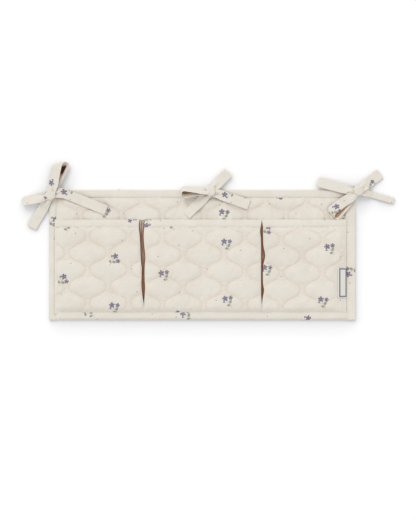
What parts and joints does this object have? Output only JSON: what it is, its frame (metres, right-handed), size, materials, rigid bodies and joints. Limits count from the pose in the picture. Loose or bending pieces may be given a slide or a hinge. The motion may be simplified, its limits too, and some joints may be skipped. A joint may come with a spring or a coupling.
{
  "type": "bedside caddy",
  "caption": "Quilted cotton bedside caddy with pleated pockets, bound edges and ribbon ties in bows, laid flat.",
  "frame": {"origin": "middle of the back panel's rear face, where it lies on a surface or against a bed", "axes": "+X to the right along the panel, +Y up the panel towards the ties, +Z out of the front"},
  "size_m": [0.731, 0.3111, 0.0304],
  "materials": {
    "quilt_cotton": "printed quilted cotton",
    "lining_cotton": "plain cotton",
    "wadding": "felted fibre",
    "binding_cotton": "printed cotton tape",
    "ribbon_cotton": "printed cotton ribbon",
    "label_tape": "woven tape"
  },
  "bodies": {
    "panel": {"panel_lining": "lining_cotton", "panel_wadding": "wadding", "panel_face": "quilt_cotton", "bottom_binding": "binding_cotton", "right_binding": "binding_cotton", "top_binding": "binding_cotton", "left_binding": "binding_cotton", "left_side_pleat": "quilt_cotton", "left_divider_pleat": "quilt_cotton", "right_divider_pleat": "quilt_cotton", "right_side_pleat": "quilt_cotton", "left_tie_base": "ribbon_cotton", "left_tie_knot": "ribbon_cotton", "centre_tie_base": "ribbon_cotton", "centre_tie_knot": "ribbon_cotton", "right_tie_base": "ribbon_cotton", "right_tie_knot": "ribbon_cotton"},
    "left_pocket": {"left_pocket_face": "quilt_cotton", "left_pocket_lining": "lining_cotton", "left_pocket_hem": "binding_cotton"},
    "centre_pocket": {"centre_pocket_face": "quilt_cotton", "centre_pocket_lining": "lining_cotton", "centre_pocket_hem": "binding_cotton"},
    "right_pocket": {"right_pocket_face": "quilt_cotton", "right_pocket_lining": "lining_cotton", "right_pocket_hem": "binding_cotton", "side_label": "label_tape"},
    "left_tie_upper_loop": {"left_tie_upper_loop": "ribbon_cotton"},
    "left_tie_side_loop": {"left_tie_side_loop": "ribbon_cotton"},
    "left_tie_outer_tail": {"left_tie_outer_tail": "ribbon_cotton"},
    "left_tie_lower_tail": {"left_tie_lower_tail": "ribbon_cotton"},
    "centre_tie_left_loop": {"centre_tie_left_loop": "ribbon_cotton"},
    "centre_tie_right_loop": {"centre_tie_right_loop": "ribbon_cotton"},
    "centre_tie_upper_tail": {"centre_tie_upper_tail": "ribbon_cotton"},
    "centre_tie_lower_tail": {"centre_tie_lower_tail": "ribbon_cotton"},
    "right_tie_inner_loop": {"right_tie_inner_loop": "ribbon_cotton"},
    "right_tie_lower_loop": {"right_tie_lower_loop": "ribbon_cotton"},
    "right_tie_upper_tail": {"right_tie_upper_tail": "ribbon_cotton"},
    "right_tie_outer_tail": {"right_tie_outer_tail": "ribbon_cotton"}
  },
  "joints": [
    {"name": "left_pocket_opens", "type": "hinge", "parent": "panel", "child": "left_pocket", "pos_m": [-0.203, -0.1117, 0.0073], "axis": [1, 0, 0], "range_deg": [0, 15], "deforming": ["left_side_pleat"]},
    {"name": "centre_pocket_opens", "type": "hinge", "parent": "panel", "child": "centre_pocket", "pos_m": [0.0007, -0.1117, 0.0073], "axis": [1, 0, 0], "range_deg": [0, 15], "deforming": ["left_divider_pleat", "right_divider_pleat"]},
    {"name": "right_pocket_opens", "type": "hinge", "parent": "panel", "child": "right_pocket", "pos_m": [0.202, -0.1117, 0.0073], "axis": [1, 0, 0], "range_deg": [0, 15], "deforming": ["right_side_pleat"]},
    {"name": "left_tie_upper_loop_lifts", "type": "hinge", "parent": "panel", "child": "left_tie_upper_loop", "pos_m": [-0.29366, 0.12593, 0.01605], "axis": [0.9426, -0.3338, 0], "range_deg": [0, 45]},
    {"name": "left_tie_side_loop_lifts", "type": "hinge", "parent": "panel", "child": "left_tie_side_loop", "pos_m": [-0.28745, 0.11403, 0.0141], "axis": [-0.1305, -0.9914, 0], "range_deg": [0, 45]},
    {"name": "left_tie_outer_tail_lifts", "type": "hinge", "parent": "panel", "child": "left_tie_outer_tail", "pos_m": [-0.30737, 0.11411, 0.0129], "axis": [-0.225, 0.9744, 0], "range_deg": [0, 45]},
    {"name": "left_tie_lower_tail_lifts", "type": "hinge", "parent": "panel", "child": "left_tie_lower_tail", "pos_m": [-0.30234, 0.10762, 0.0129], "axis": [-0.8572, 0.515, 0], "range_deg": [0, 45]},
    {"name": "centre_tie_left_loop_lifts", "type": "hinge", "parent": "panel", "child": "centre_tie_left_loop", "pos_m": [0.00496, 0.12431, 0.01652], "axis": [-0.0175, 0.9998, 0], "range_deg": [0, 45]},
    {"name": "centre_tie_right_loop_lifts", "type": "hinge", "parent": "panel", "child": "centre_tie_right_loop", "pos_m": [0.02582, 0.12091, 0.0141], "axis": [-0.3338, -0.9426, 0], "range_deg": [0, 45]},
    {"name": "centre_tie_upper_tail_lifts", "type": "hinge", "parent": "panel", "child": "centre_tie_upper_tail", "pos_m": [0.02216, 0.13143, 0.0129], "axis": [0.7314, -0.682, 0], "range_deg": [0, 45]},
    {"name": "centre_tie_lower_tail_lifts", "type": "hinge", "parent": "panel", "child": "centre_tie_lower_tail", "pos_m": [0.00938, 0.11749, 0.0129], "axis": [-0.7431, 0.6691, 0], "range_deg": [0, 45]},
    {"name": "right_tie_inner_loop_lifts", "type": "hinge", "parent": "panel", "child": "right_tie_inner_loop", "pos_m": [0.29356, 0.12777, 0.0141], "axis": [0.2164, 0.9763, 0], "range_deg": [0, 45]},
    {"name": "right_tie_lower_loop_lifts", "type": "hinge", "parent": "panel", "child": "right_tie_lower_loop", "pos_m": [0.29626, 0.11847, 0.01583], "axis": [-0.682, 0.7314, 0], "range_deg": [0, 45]},
    {"name": "right_tie_upper_tail_lifts", "type": "hinge", "parent": "panel", "child": "right_tie_upper_tail", "pos_m": [0.31216, 0.1318, 0.0129], "axis": [0.6018, -0.7986, 0], "range_deg": [0, 45]},
    {"name": "right_tie_outer_tail_lifts", "type": "hinge", "parent": "panel", "child": "right_tie_outer_tail", "pos_m": [0.31383, 0.12272, 0.0129], "axis": [-0.2672, -0.9636, 0], "range_deg": [0, 45]}
  ]
}
